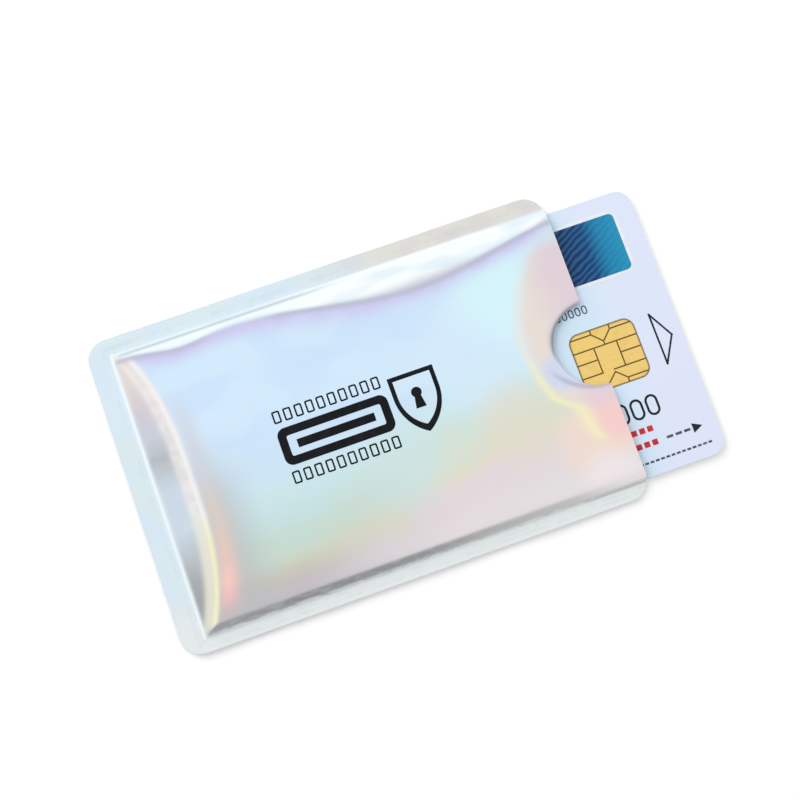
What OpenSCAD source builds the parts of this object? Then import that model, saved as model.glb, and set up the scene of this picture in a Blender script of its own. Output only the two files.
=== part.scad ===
// Foil-lined card sleeve with a chip card partly drawn out of its mouth.
// Millimetres, +Z up. The sleeve lies on its back panel at z = 0 and its mouth faces +X. The origin
// is the centre of the sleeve's outline, on the face that it rests on.

/* [Card] */
// Length of the card
card_l = 85.6; // [75:0.1:95]
// Width of the card
card_w = 53.98; // [48:0.01:60]
// Thickness of the card
card_t = 0.76; // [0.74:0.01:0.9]
// Radius of the card's corners
card_r = 3.18; // [1:0.01:6]
// Thickness of each clear overlay on the card
overlay_t = 0.05; // [0.03:0.01:0.07]
// Thickness of the inlay sheet in the middle of the card
inlay_t = 0.18; // [0.14:0.01:0.22]
// Distance that the card stands out of the mouth
card_out = 16.65; // [0:0.05:60]

/* [Sleeve] */
// Width of the seam along the upper long edge
top_seam_w = 3.2; // [2:0.1:8]
// Width of the seam along the lower long edge
bottom_seam_w = 2.4; // [2:0.1:8]
// Width of the seam across the closed end
end_seam_w = 4.5; // [2.5:0.1:10]
// Width of the sealed band in each seam, next to the pocket
seal_w = 1.4; // [0.8:0.1:1.8]
// Mean play between each long edge of the card and the seam
side_play = 0.91; // [0.8:0.01:2]
// Play behind the card when it is pushed in flush with the mouth
end_play = 0.9; // [0.8:0.05:5]
// Gap between each face of the card and the liner
face_gap = 0.08; // [0.06:0.01:0.2]
// Gap between the card's lower edge and the foot of the steep step
edge_gap = 0.06; // [0.04:0.01:0.2]
// Radius of the sleeve's corners
corner_r = 4; // [1:0.1:6]
// Radius of the thumb notch
notch_r = 8.1; // [4:0.1:12]
// Place of the thumb notch across the mouth
notch_y = -0.5; // [-4:0.1:4]

/* [Layers of the sleeve] */
// Thickness of the outer film
film_t = 0.06; // [0.04:0.01:0.1]
// Thickness of the aluminium foil
foil_t = 0.03; // [0.02:0.01:0.08]
// Thickness of the paper liner
liner_t = 0.11; // [0.06:0.01:0.2]
// Thickness of the glue between two layers, which is left as a gap
glue_t = 0.01; // [0.005:0.005:0.02]
// Thickness of the sealed band between the two liners
seal_t = 0.05; // [0.03:0.01:0.1]
// Thickness of an ink mark
ink_t = 0.02; // [0.01:0.01:0.04]

/* [Shape of the front panel] */
// Height of the front panel over its own seams
crown_h = 1.5; // [0.8:0.1:3]
// Width of the steep step beside each seam
step_run = 0.5; // [0.3:0.05:0.6]
// Least width of the slope under the upper seam
top_slope_w = 1.5; // [0.8:0.1:3]
// Extra width of that slope where the panel is pressed in, towards the mouth
top_dent_w = 5.3; // [0:0.1:8]
// Place of that dent, measured from the mouth
top_dent_from_mouth = 28.5; // [20:0.5:50]
// Half length of that dent
top_dent_l = 24; // [10:0.5:30]
// Extra width of that slope in a smaller dent near the closed end
end_dent_w = 1.5; // [0:0.1:2.5]
// Place of the smaller dent, measured from the closed end of the pocket
end_dent_from_end = 12.5; // [8:0.5:18]
// Half length of the smaller dent
end_dent_l = 7; // [4:0.5:10]
// Width of the slope over the lower seam
bottom_slope_w = 1.8; // [1:0.1:4]
// Width of the slope beside the closed end, at its middle
end_slope_w = 7; // [6.5:0.1:9]
// How much narrower that slope is at the pocket's corners
end_slope_taper = 5.2; // [0:0.1:5.6]
// Height of the raised lip along the creases, over the flat middle of the panel
lip_h = 0.15; // [0:0.05:0.4]
// Width of that lip
lip_run = 4; // [2:0.5:6]
// Reach of the dish round the notch, from the mouth
dish_l = 13.5; // [9:0.5:20]
// Half width of the dish along the mouth, above its middle
dish_w = 22; // [14:0.5:24]
// Half width of the dish along the mouth, below its middle
dish_w_below = 25; // [14:0.5:26]
// Place of the dish across the mouth
dish_y = 3; // [-3:0.5:4]
// Power of the dish's outline: 2 is an ellipse, and less has straighter flanks
dish_power = 1.6; // [1.4:0.1:2]
// Share of the panel's height that is lost at the middle of the mouth
dish_share = 0.5; // [0:0.05:0.8]

/* [Print on the front] */
// Place of the print's left edge, measured from the closed end
print_from_end = 28.7; // [20:0.1:35]
// Length of each row of marks
print_row_l = 21.6; // [14:0.1:26]
// Height of the thin rows
thin_row_h = 2.4; // [1.5:0.1:4]
// Height of the bold row
bold_row_h = 7.2; // [5:0.1:9]
// Gap between two rows
row_gap = 1.1; // [0.6:0.1:3]
// Line width of the thin rows
thin_line_w = 0.32; // [0.2:0.02:0.5]
// Line width of the bold row
bold_line_w = 1.6; // [0.8:0.1:2]
// Width of the shield beside the rows
shield_w = 9; // [6:0.1:12]
// Line width of the shield
shield_line_w = 0.85; // [0.5:0.05:1.5]

/* [Chip module] */
// Length of the contact plate, along the card
contact_l = 13; // [11:0.1:14]
// Width of the contact plate
contact_w = 11.8; // [10.5:0.1:13]
// Radius of the contact plate's corners
contact_r = 2; // [0.8:0.1:2.5]
// Distance from the card's end to the middle of the module
chip_from_end = 14.85; // [14:0.05:20]
// Distance from the card's lower edge to the middle of the module
chip_from_side = 24.15; // [20:0.05:30]
// Gap between two contacts
contact_gap = 0.28; // [0.15:0.01:0.4]
// Gap round the module in its cavity
cavity_gap = 0.1; // [0.05:0.01:0.2]
// Thickness of the contacts
contact_t = 0.035; // [0.03:0.005:0.05]
// Thickness of the tape that carries the contacts
carrier_t = 0.12; // [0.08:0.01:0.14]
// Thickness of the glue ring under the tape
chip_glue_t = 0.03; // [0.02:0.01:0.05]
// Width of the glue ring
chip_glue_w = 1.6; // [1.2:0.1:2]
// Thickness of the potting under the tape
potting_t = 0.4; // [0.34:0.01:0.42]
// Gap round the potting in the inner cavity
potting_gap = 0.3; // [0.1:0.05:0.5]
// Gap under the potting, down to the cavity's floor
cavity_floor_gap = 0.05; // [0.02:0.01:0.06]
// Length of the die
die_l = 2.4; // [1.6:0.1:3.4]
// Width of the die
die_w = 2.2; // [1.6:0.1:3.4]
// Thickness of the die
die_t = 0.16; // [0.1:0.01:0.2]
// Width and thickness of a bond wire
wire_t = 0.03; // [0.02:0.005:0.05]
// Distance that the bond wires loop down past the die
wire_loop = 0.08; // [0.05:0.01:0.1]
// Radius of the holes in the tape for the bond wires
bond_hole_r = 0.35; // [0.2:0.05:0.4]
// Distance from the module's middle to each line of those holes
bond_hole_x = 3.1; // [2.8:0.1:3.6]
// Distance from one of those holes to the next
bond_pitch = 2.2; // [1.8:0.05:2.3]
// Distance from the die's edge to its pads
die_pad_inset = 0.25; // [0.1:0.05:0.4]

/* [Antenna] */
// Number of turns of the antenna
antenna_turns = 5; // [2:1:6]
// Width of the antenna's trace
trace_w = 0.5; // [0.3:0.05:0.6]
// Distance from one turn to the next
trace_pitch = 0.9; // [0.8:0.05:1]
// Thickness of the trace
trace_t = 0.04; // [0.03:0.01:0.05]
// Distance from the card's edge to the outer turn
trace_inset = 2.2; // [1.5:0.1:2.4]
// Radius of the posts and bumps that join the antenna to the module
post_r = 0.3; // [0.15:0.05:0.4]

/* [Marks on the card] */
// Length of the badge
badge_l = 20; // [12:0.1:24]
// Width of the badge
badge_w = 12.7; // [8:0.1:16]
// Width of the badge's white border
badge_border_w = 0.6; // [0.3:0.05:1]
// Radius of the badge's corners
badge_r = 1.6; // [1.3:0.1:3]
// Distance from the card's end to the badge
badge_from_end = 3.85; // [3:0.05:8]
// Distance from the card's upper edge to the badge
badge_from_side = 3.15; // [2.5:0.05:6]
// Height of the large digits
digit_h = 4.1; // [3:0.1:5]
// Width of the large digits
digit_w = 2.5; // [1.8:0.1:2.8]
// Line width of the large digits
digit_line_w = 0.45; // [0.3:0.05:0.7]
// Distance from one large digit to the next
digit_pitch = 3.05; // [2.9:0.05:3.2]
// Extra distance between two groups of large digits
digit_group_gap = 1.8; // [0.5:0.1:3]
// Distance from the card's end to the large digits
digits_from_end = 9; // [6:0.1:12]
// Distance from the card's lower edge to the middle of the large digits
digits_from_side = 12.75; // [12:0.05:14]
// Height of the small digits
small_digit_h = 1.7; // [1.2:0.1:2.2]
// Width of the small digits
small_digit_w = 1.05; // [0.7:0.05:1.2]
// Line width of the small digits
small_digit_line_w = 0.24; // [0.15:0.01:0.3]
// Distance from one small digit to the next
small_digit_pitch = 1.35; // [1.25:0.05:1.6]
// Distance from the card's end to the first small digit
small_digits_from_end = 22.3; // [18:0.1:30]
// Distance from the card's end to the arrow signs
arrows_from_end = 4.95; // [4:0.05:6]
// Length of the outlined arrow, along the card
arrow_l = 2.8; // [2:0.1:3.4]
// Width of the outlined arrow
arrow_w = 10; // [6:0.2:11]
// Line width of the outlined arrow
arrow_line_w = 0.36; // [0.2:0.02:0.6]
// Length and width of the solid arrow
small_arrow_w = 1.9; // [1.2:0.1:2.4]
// Distance from the card's lower edge to the solid arrow and the dashes beside it
caption_from_side = 6.05; // [5:0.05:7]
// Length of a dash in the caption rows
dash_l = 1.25; // [0.8:0.05:1.4]
// Width of a dash in the caption rows
dash_w = 0.5; // [0.3:0.05:0.7]
// Distance from one dash to the next in the caption rows
dash_pitch = 1.75; // [1.5:0.05:2]
// Length of a dash in the lowest row
fine_dash_l = 0.75; // [0.5:0.05:0.9]
// Width of a dash in the lowest row
fine_dash_w = 0.4; // [0.2:0.05:0.6]
// Distance from one dash to the next in the lowest row
fine_dash_pitch = 1.06; // [0.95:0.01:1.2]
// Distance from the card's lower edge to the lowest row
fine_row_from_side = 2.6; // [2:0.1:4]
// Distance from the card's end to the left edge of the red marks
red_from_end = 18.2; // [17.5:0.1:22]
// Distance from the card's lower edge to the red marks
red_from_side = 5.4; // [5:0.1:6]
// Height of the red marks
red_h = 3.8; // [3:0.1:4]
// Length of a red dash
red_dash_l = 1.1; // [0.8:0.05:1.3]
// Distance from one red dash to the next
red_pitch = 1.6; // [1.45:0.05:1.7]
// Height of the stripe on the card's back
stripe_h = 10.3; // [8:0.1:14]
// Distance from the card's lower edge to the stripe
stripe_from_side = 4.5; // [3:0.1:6]
// Length of the signature panel on the card's back
signature_l = 60; // [40:1:68]
// Width of the signature panel
signature_w = 8; // [5:0.5:12]
// Distance from the stripe to the signature panel
signature_gap = 3; // [1:0.5:6]

/* [Hidden] */
$fn = 96;

// Outline of the sleeve and of its pocket, worked out from the card
sleeve_l = end_seam_w + end_play + card_l;
sleeve_w = top_seam_w + bottom_seam_w + card_w + 2 * side_play;
mouth_x = sleeve_l / 2;
pocket_x0 = end_seam_w - sleeve_l / 2;
pocket_y0 = bottom_seam_w - sleeve_w / 2;
pocket_y1 = sleeve_w / 2 - top_seam_w;

// Heights of the layers: the card lies midway between the two seams
panel_t = film_t + foil_t + liner_t + 2 * glue_t;
step_h = card_t / 2 + face_gap - seal_t / 2;
seal_z0 = step_h + panel_t;
front_z0 = seal_z0 + seal_t;
flat_top_z = front_z0 + panel_t + crown_h - lip_h;

// Middle of the card, and height of its back face
card_x = mouth_x + card_out - card_l / 2;
card_y = pocket_y0 + step_run + edge_gap + card_w / 2;
card_z = panel_t + face_gap;

// Heights in the card, from its back face
back_sheet_z = overlay_t;
sheet_t = (card_t - inlay_t) / 2 - overlay_t;
inlay_z = back_sheet_z + sheet_t;
front_sheet_z = inlay_z + inlay_t;
front_overlay_z = front_sheet_z + sheet_t;
carrier_z = card_t - contact_t - carrier_t;
ledge_z = carrier_z - chip_glue_t;
potting_z = carrier_z - potting_t;
die_z = carrier_z - die_t;
cavity_z = potting_z - cavity_floor_gap;
chip_x = card_l / 2 - chip_from_end;
chip_y = chip_from_side - card_w / 2;
// Inner cavity under the ledge that the glue ring sits on
cavity_l = contact_l - 2 * chip_glue_w;
cavity_w = contact_w - 2 * chip_glue_w;

// Tall enough or far enough to pass right through whatever it cuts
beyond = 10;
// Oversize of the panels before their outline is cut
trim = 0.5;

// General shapes

function clamp01(u) = min(1, max(0, u));
function ease(u) = let(c = clamp01(u)) c * c * (3 - 2 * c);
function bump(u) = exp(-u * u);

module rounded_rect(l, w, r) {
    square([l - 2 * r, w], center = true);
    square([l, w - 2 * r], center = true);
    for (sx = [-1, 1])
        for (sy = [-1, 1])
            translate([sx * (l / 2 - r), sy * (w / 2 - r)])
                circle(r);
}

// Rectangle outline of even line width
module rounded_ring(l, w, r, line_w) {
    difference() {
        rounded_rect(l, w, r);
        rounded_rect(l - 2 * line_w, w - 2 * line_w, max(r - line_w, line_w / 4));
    }
}

// Straight line from a to b with square ends that reach half its width past both points
module line(a, b, w) {
    along = b - a;
    translate(a)
        rotate(atan2(along[1], along[0]))
            translate([-w / 2, -w / 2])
                square([norm(along) + w, w]);
}

module polyline(points, w) {
    for (i = [0 : len(points) - 2])
        line(points[i], points[i + 1], w);
}

// Row of n copies along +X, the first one half a pitch from the start
module row(n, pitch) {
    for (i = [0 : n - 1])
        translate([(i + 0.5) * pitch, 0])
            children();
}

// Sleeve: outline

module sleeve_outline() {
    difference() {
        rounded_rect(sleeve_l, sleeve_w, corner_r);
        translate([mouth_x, notch_y])
            circle(notch_r);
    }
}

// Back panel: a shallow tray, open at the mouth, that the card's back lies in

// Space inside the tray above a floor at z = floor_z
module tray_space(floor_z) {
    rim_z = floor_z + step_h;
    across = [
        [pocket_y0 + step_run, floor_z], [pocket_y1 - step_run, floor_z],
        [pocket_y1, rim_z], [pocket_y1, rim_z + beyond],
        [pocket_y0, rim_z + beyond], [pocket_y0, rim_z]
    ];
    along = [
        [pocket_x0 + step_run, floor_z], [mouth_x + beyond, floor_z],
        [mouth_x + beyond, rim_z + beyond],
        [pocket_x0, rim_z + beyond], [pocket_x0, rim_z]
    ];
    intersection() {
        translate([-sleeve_l, 0, 0])
            rotate([90, 0, 90])
                linear_extrude(2 * sleeve_l)
                    polygon(across);
        translate([0, sleeve_w, 0])
            rotate([90, 0, 0])
                linear_extrude(2 * sleeve_w)
                    polygon(along);
    }
}

// Layer of the back panel from height z0 to height z1 above the panel's underside
module back_layer(z0, z1) {
    difference() {
        linear_extrude(step_h + z1)
            sleeve_outline();
        tray_space(z1);
        difference() {
            translate([-sleeve_l, -sleeve_w, -beyond])
                cube([2 * sleeve_l, 2 * sleeve_w, beyond + step_h + z0]);
            tray_space(z0);
        }
    }
}

module back_film() {
    color("lightsteelblue")
        back_layer(0, film_t);
}

module back_foil() {
    color("silver")
        back_layer(film_t + glue_t, film_t + glue_t + foil_t);
}

module back_liner() {
    color("whitesmoke")
        back_layer(panel_t - liner_t, panel_t);
}

// Band sealed on three sides, next to the pocket
module seal_band() {
    color("gainsboro")
        translate([0, 0, seal_z0])
            linear_extrude(seal_t)
                difference() {
                    intersection() {
                        sleeve_outline();
                        translate([pocket_x0 - seal_w, pocket_y0 - seal_w])
                            square([sleeve_l, pocket_y1 - pocket_y0 + 2 * seal_w]);
                    }
                    translate([pocket_x0, pocket_y0])
                        square([sleeve_l, pocket_y1 - pocket_y0]);
                }
}

// Front panel: a puffed sheet over the pocket, dished round the notch

// Width of the slope under the upper seam, at x
function top_slope(x) =
    top_slope_w
    + top_dent_w * bump((x - mouth_x + top_dent_from_mouth) / top_dent_l)
    + end_dent_w * bump((x - pocket_x0 - end_dent_from_end) / end_dent_l);

// Width of the slope beside the closed end, at y
end_slope_power = 3;
function end_slope(y) =
    let(from_middle = 2 * abs(y) / (pocket_y1 - pocket_y0))
    end_slope_w - end_slope_taper * min(1, pow(from_middle, end_slope_power));

// Distance from the dish's middle along the mouth, as a share of its half width
function dish_across(y) = abs(y - dish_y) / (y > dish_y ? dish_w : dish_w_below);

// Place in the dish: 0 at the middle of the mouth and 1 on the dish's rim
function dish_radius(x, y) =
    let(along = abs(mouth_x - x) / dish_l)
    pow(pow(along, dish_power) + pow(dish_across(y), dish_power), 1 / dish_power);

// Depth into the dish: 0 at its rim and outside it, 1 at the middle of the mouth
function dish(x, y) = ease(1 - dish_radius(x, y));

// Share of the crown that the panel reaches at x, y
function crown(x, y) =
    clamp01((pocket_y1 - y) / top_slope(x))
    * clamp01((y - pocket_y0) / bottom_slope_w)
    * clamp01((x - pocket_x0) / end_slope(y))
    * (1 - dish_share * dish(x, y));

// Distance from x, y to the nearest crease, on the flat middle of the panel
function crease_distance(x, y) =
    min(
        pocket_y1 - y - top_slope(x),
        y - pocket_y0 - bottom_slope_w,
        x - pocket_x0 - end_slope(y),
        (dish_radius(x, y) - 1) * dish_l
    );

// Height of the panel over its own seams: a steep step clears the card, the crown adds the rest,
// and the flat middle lies a little lower than the creases round it
function panel_rise(x, y) =
    let(inside = min(x - pocket_x0, pocket_y1 - y, y - pocket_y0))
    step_h * clamp01(inside / step_run)
    + (crown_h - step_h) * crown(x, y)
    - lip_h * clamp01(crease_distance(x, y) / lip_run);

// n + 1 even places from a to b
function even_places(a, b, n) = [for (k = [0 : n]) a + (b - a) * k / n];

// Grid lines across the sleeve at x, from the lower edge to the upper one
flat_rows = 8;
function row_places(x) =
    let(low = pocket_y0 + bottom_slope_w, high = pocket_y1 - top_slope(x))
    concat(
        [-sleeve_w / 2 - trim, pocket_y0, pocket_y0 + step_run, low],
        even_places(low + lip_run, high - lip_run, flat_rows),
        [high, (high + pocket_y1 - step_run) / 2],
        [pocket_y1 - step_run, pocket_y1, sleeve_w / 2 + trim]
    );

// Reach of the dish at y, but never less than its narrow ends
dish_end_l = 2.5;
function dish_reach(y) =
    let(across = min(1, dish_across(y)))
    max(dish_end_l, dish_l * pow(1 - pow(across, dish_power), 1 / dish_power));

// Grid lines along the sleeve at y, from the closed end to the mouth
flat_columns = 6;
dish_columns = 6;
function column_places(y) =
    let(left = pocket_x0 + end_slope(y), right = mouth_x - dish_reach(y))
    concat(
        [-sleeve_l / 2 - trim, pocket_x0, pocket_x0 + step_run, pocket_x0 + end_slope(y) / 2, left],
        even_places(left + lip_run, right - lip_run, flat_columns),
        even_places(right, mouth_x + trim, dish_columns)
    );

// Closed sheet between two heights over the panel's underside, on a grid of columns and rows
module panel_sheet(z0, z1) {
    start_rows = row_places(0);
    last_row = len(start_rows) - 1;
    last_column = len(column_places(0)) - 1;
    corners = [
        for (i = [0 : last_column])
            for (j = [0 : last_row])
                let(x = column_places(start_rows[j])[i])
                [x, row_places(x)[j]]
    ];
    low = [for (c = corners) [c[0], c[1], z0 + panel_rise(c[0], c[1])]];
    high = [for (c = corners) [c[0], c[1], z1 + panel_rise(c[0], c[1])]];
    stride = last_row + 1;
    over = len(corners);
    // Both faces, the lower one with its corners the other way round
    faces_flat = [
        for (i = [0 : last_column - 1])
            for (j = [0 : last_row - 1])
                let(a = i * stride + j, b = a + 1, c = b + stride, d = a + stride)
                each [[over + a, over + b, over + c], [over + a, over + c, over + d], [c, b, a], [d, c, a]]
    ];
    // The rim goes once round the grid, anticlockwise seen from above
    rim = concat(
        [for (i = [0 : last_column - 1]) i * stride],
        [for (j = [0 : last_row - 1]) last_column * stride + j],
        [for (i = [last_column : -1 : 1]) i * stride + last_row],
        [for (j = [last_row : -1 : 1]) j]
    );
    faces_rim = [
        for (k = [0 : len(rim) - 1])
            let(a = rim[k], b = rim[(k + 1) % len(rim)])
            each [[a, over + a, over + b], [a, over + b, b]]
    ];
    polyhedron(concat(low, high), concat(faces_flat, faces_rim));
}

// Layer of the front panel from height z0 to height z1 above the panel's underside
module front_layer(z0, z1) {
    intersection() {
        translate([0, 0, front_z0])
            panel_sheet(z0, z1);
        linear_extrude(flat_top_z + beyond)
            sleeve_outline();
    }
}

module front_liner() {
    color("whitesmoke")
        front_layer(0, liner_t);
}

module front_foil() {
    color("silver")
        front_layer(liner_t + glue_t, liner_t + glue_t + foil_t);
}

module front_film() {
    color("lightcyan")
        front_layer(panel_t - film_t, panel_t);
}

// Print on the front: two thin rows of boxes, a bold card sign between them and a shield

// Row of small outlined boxes that fills the row's length
boxes_in_row = 10;
module box_row() {
    pitch = print_row_l / boxes_in_row;
    row(boxes_in_row, pitch)
        rounded_ring(pitch - 2 * thin_line_w, thin_row_h, thin_line_w, thin_line_w);
}

module card_sign() {
    inner_l = print_row_l - 4 * bold_line_w;
    translate([print_row_l / 2, 0]) {
        rounded_ring(print_row_l, bold_row_h, bold_line_w, bold_line_w);
        square([inner_l, bold_line_w], center = true);
    }
}

// Plate with a straight top and two arcs that meet in a point below. w is its width.
module shield_plate(w, top_h) {
    translate([-w / 2, 0])
        square([w, top_h]);
    intersection() {
        translate([w / 2, 0])
            circle(w);
        translate([-w / 2, 0])
            circle(w);
        translate([-w, -w])
            square([2 * w, w]);
    }
}

module shield() {
    top_h = shield_w * 0.45;
    inner_w = shield_w - 2 * shield_line_w;
    keyhole_r = shield_w / 9;
    difference() {
        shield_plate(shield_w, top_h);
        shield_plate(inner_w, top_h - shield_line_w);
    }
    circle(keyhole_r);
    polygon([
        [-keyhole_r / 2, 0], [keyhole_r / 2, 0],
        [keyhole_r, -3 * keyhole_r], [-keyhole_r, -3 * keyhole_r]
    ]);
}

module front_print() {
    row_pitch = (thin_row_h + bold_row_h) / 2 + row_gap;
    shield_drop = shield_w * 0.2;
    color("black")
        translate([print_from_end - sleeve_l / 2, 0, flat_top_z])
            linear_extrude(ink_t) {
                translate([0, row_pitch])
                    box_row();
                card_sign();
                translate([0, -row_pitch])
                    box_row();
                translate([print_row_l + row_gap + shield_w / 2, shield_drop])
                    shield();
            }
}

// Card: sheets

module on_card() {
    translate([card_x, card_y, card_z])
        children();
}

module card_outline() {
    rounded_rect(card_l, card_w, card_r);
}

module at_chip() {
    translate([chip_x, chip_y])
        children();
}

// Cavity of the chip module: wide down to the ledge, narrow below it
module chip_cavity() {
    at_chip() {
        translate([0, 0, ledge_z])
            linear_extrude(card_t)
                rounded_rect(contact_l + 2 * cavity_gap, contact_w + 2 * cavity_gap, contact_r + cavity_gap);
        translate([0, 0, cavity_z])
            linear_extrude(card_t)
                rounded_rect(cavity_l, cavity_w, contact_r);
    }
}

module sheet(z0, t) {
    translate([0, 0, z0])
        linear_extrude(t)
            card_outline();
}

module card_back_overlay() {
    color("aliceblue")
        on_card()
            sheet(0, overlay_t);
}

module card_back_sheet() {
    color("white")
        on_card()
            difference() {
                sheet(back_sheet_z, sheet_t);
                chip_cavity();
            }
}

module card_inlay() {
    color("ivory")
        on_card()
            difference() {
                sheet(inlay_z, inlay_t);
                chip_cavity();
                antenna_trace_solid();
                antenna_bridge_solid();
            }
}

module card_front_sheet() {
    color("lavender")
        on_card()
            difference() {
                sheet(front_sheet_z, sheet_t);
                chip_cavity();
                antenna_bump_solids();
            }
}

module card_front_overlay() {
    color("aliceblue")
        on_card()
            difference() {
                sheet(front_overlay_z, overlay_t);
                chip_cavity();
            }
}

// Antenna: a flat spiral, its bridge and the bumps up to the module

// Right, left, upper and lower side of turn k, in the card's frame
function turn_right(k) = card_l / 2 - trace_inset - k * trace_pitch;
function turn_top(k) = card_w / 2 - trace_inset - k * trace_pitch;

// Places under the module's glue ring where the two ends come up
bump_x = chip_x + contact_l / 2 - chip_glue_w / 2;
bump_upper_y = chip_y + contact_w / 4;
bump_lower_y = chip_y - contact_w / 4;

function antenna_path() = concat(
    [[turn_right(0), bump_upper_y]],
    [for (k = [0 : antenna_turns - 1]) each [
        [turn_right(k), turn_top(k)], [-turn_right(k), turn_top(k)],
        [-turn_right(k), -turn_top(k)], [turn_right(k + 1), -turn_top(k)]
    ]],
    [[turn_right(antenna_turns), bump_lower_y], [bump_x, bump_lower_y]]
);

module antenna_trace_solid() {
    translate([0, 0, front_sheet_z - trace_t])
        linear_extrude(trace_t)
            polyline(antenna_path(), trace_w);
}

// Strip on the inlay's underside, with a post up to the outer turn and one up to the module's bump
module antenna_bridge_solid() {
    translate([0, 0, inlay_z]) {
        linear_extrude(trace_t)
            line([bump_x, bump_upper_y], [turn_right(0), bump_upper_y], 2 * post_r);
        translate([turn_right(0), bump_upper_y, 0])
            cylinder(r = post_r, h = inlay_t - trace_t);
        translate([bump_x, bump_upper_y, 0])
            cylinder(r = post_r, h = inlay_t);
    }
}

module antenna_bump_solids() {
    for (y = [bump_upper_y, bump_lower_y])
        translate([bump_x, y, front_sheet_z])
            cylinder(r = post_r, h = carrier_z - front_sheet_z);
}

module antenna_trace() {
    color("silver")
        on_card()
            antenna_trace_solid();
}

module antenna_bridge() {
    color("silver")
        on_card()
            antenna_bridge_solid();
}

module antenna_bumps() {
    color("gray")
        on_card()
            antenna_bump_solids();
}

// Chip module

// Lines that part the contact plate, with the plate's middle as origin. Their places are shares of
// the plate's length and width.
module contact_lines() {
    side = contact_l / 2 + contact_gap;
    core_x = contact_l * 0.177;
    core_top = contact_w * 0.2;
    core_low = -contact_w * 0.226;
    rim_y = contact_w * 0.42;
    edge_y = contact_w / 2;
    tip_top = contact_w * 0.26;
    tip_low = contact_w * 0.27;
    notch_x = contact_l * 0.146;
    polyline([[-side, core_top], [side, core_top]], contact_gap);
    polyline([[-side, core_low], [-core_x, core_low], [-core_x, core_top]], contact_gap);
    polyline([[side, core_low], [0, core_low]], contact_gap);
    polyline([[core_x, core_low], [core_x, core_top]], contact_gap);
    for (s = [-1, 1]) {
        polyline([[s * side, 0], [s * core_x, 0]], contact_gap);
        polyline([[0, core_top], [0, tip_top], [s * notch_x, rim_y], [s * notch_x, edge_y]], contact_gap);
        polyline([[0, -tip_low], [s * notch_x, -rim_y], [s * notch_x, -edge_y]], contact_gap);
    }
    polyline([[-side, rim_y], [-notch_x, rim_y]], contact_gap);
    polyline([[side, rim_y], [notch_x, rim_y]], contact_gap);
    polyline([[side, -rim_y], [notch_x, -rim_y]], contact_gap);
}

module chip_contacts() {
    color("goldenrod")
        on_card()
            at_chip()
                translate([0, 0, card_t - contact_t])
                    linear_extrude(contact_t)
                        difference() {
                            rounded_rect(contact_l, contact_w, contact_r);
                            contact_lines();
                        }
}

// Ends of the bond wires: on the die, and in the tape's holes under the outer contacts
bond_rows = [-1.5, -0.5, 0.5, 1.5];
die_pad_pitch = (die_w - 2 * die_pad_inset) / (len(bond_rows) - 1);
function bond_hole(side, k) = [side * bond_hole_x, k * bond_pitch];
function die_pad(side, k) = [side * (die_l / 2 - die_pad_inset), k * die_pad_pitch];

module chip_carrier() {
    color("darkolivegreen")
        on_card()
            at_chip()
                translate([0, 0, carrier_z])
                    linear_extrude(carrier_t)
                        difference() {
                            rounded_rect(contact_l, contact_w, contact_r);
                            for (side = [-1, 1])
                                for (k = bond_rows)
                                    translate(bond_hole(side, k))
                                        circle(bond_hole_r);
                        }
}

module chip_glue() {
    color("khaki")
        on_card()
            difference() {
                at_chip()
                    translate([0, 0, ledge_z])
                        linear_extrude(chip_glue_t)
                            rounded_ring(contact_l, contact_w, contact_r, chip_glue_w);
                antenna_bump_solids();
            }
}

module die_solid() {
    translate([-die_l / 2, -die_w / 2, die_z])
        cube([die_l, die_w, die_t]);
}

module chip_die() {
    color("dimgray")
        on_card()
            at_chip()
                die_solid();
}

// Wire down from the die, across and up to the back of a contact
module bond_wire(start, end) {
    along = end - start;
    span = norm(along);
    loop_z = die_z - wire_loop;
    top_z = card_t - contact_t;
    translate([start[0], start[1], 0])
        rotate([90, 0, atan2(along[1], along[0])])
            linear_extrude(wire_t, center = true)
                polygon([
                    [0, die_z], [0, loop_z], [span, loop_z], [span, top_z],
                    [span - wire_t, top_z], [span - wire_t, loop_z + wire_t],
                    [wire_t, loop_z + wire_t], [wire_t, die_z]
                ]);
}

module bond_wire_solids() {
    for (side = [-1, 1])
        for (k = bond_rows)
            bond_wire(die_pad(side, k), bond_hole(side, k));
}

module bond_wires() {
    color("gold")
        on_card()
            at_chip()
                bond_wire_solids();
}

module chip_potting() {
    color("black")
        on_card()
            at_chip()
                difference() {
                    translate([0, 0, potting_z])
                        linear_extrude(potting_t)
                            rounded_rect(cavity_l - 2 * potting_gap, cavity_w - 2 * potting_gap, contact_r);
                    die_solid();
                    bond_wire_solids();
                }
}

// Marks on the card's back

module under_card() {
    translate([card_x, card_y, card_z - ink_t])
        children();
}

module magnetic_stripe() {
    stripe_y = stripe_from_side - card_w / 2;
    color("black")
        under_card()
            linear_extrude(ink_t)
                translate([-card_l / 2, stripe_y])
                    square([card_l, stripe_h]);
}

module signature_panel() {
    panel_y = stripe_from_side + stripe_h + signature_gap - card_w / 2;
    color("white")
        under_card()
            linear_extrude(ink_t)
                translate([card_l / 2 - card_r - signature_l, panel_y])
                    square([signature_l, signature_w]);
}

// Marks on the card's front

module on_card_face() {
    translate([card_x, card_y, card_z + card_t])
        linear_extrude(ink_t)
            children();
}

// Moves the origin in from the card's lower corner at the chip's end, by these distances from its
// end and from its lower edge
module from_corner(from_end, from_side) {
    translate([card_l / 2 - from_end, from_side - card_w / 2])
        children();
}

badge_mid_x = card_l / 2 - badge_from_end - badge_l / 2;
badge_mid_y = card_w / 2 - badge_from_side - badge_w / 2;

module badge_border() {
    color("white")
        on_card_face()
            translate([badge_mid_x, badge_mid_y])
                rounded_ring(badge_l, badge_w, badge_r, badge_border_w);
}

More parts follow.
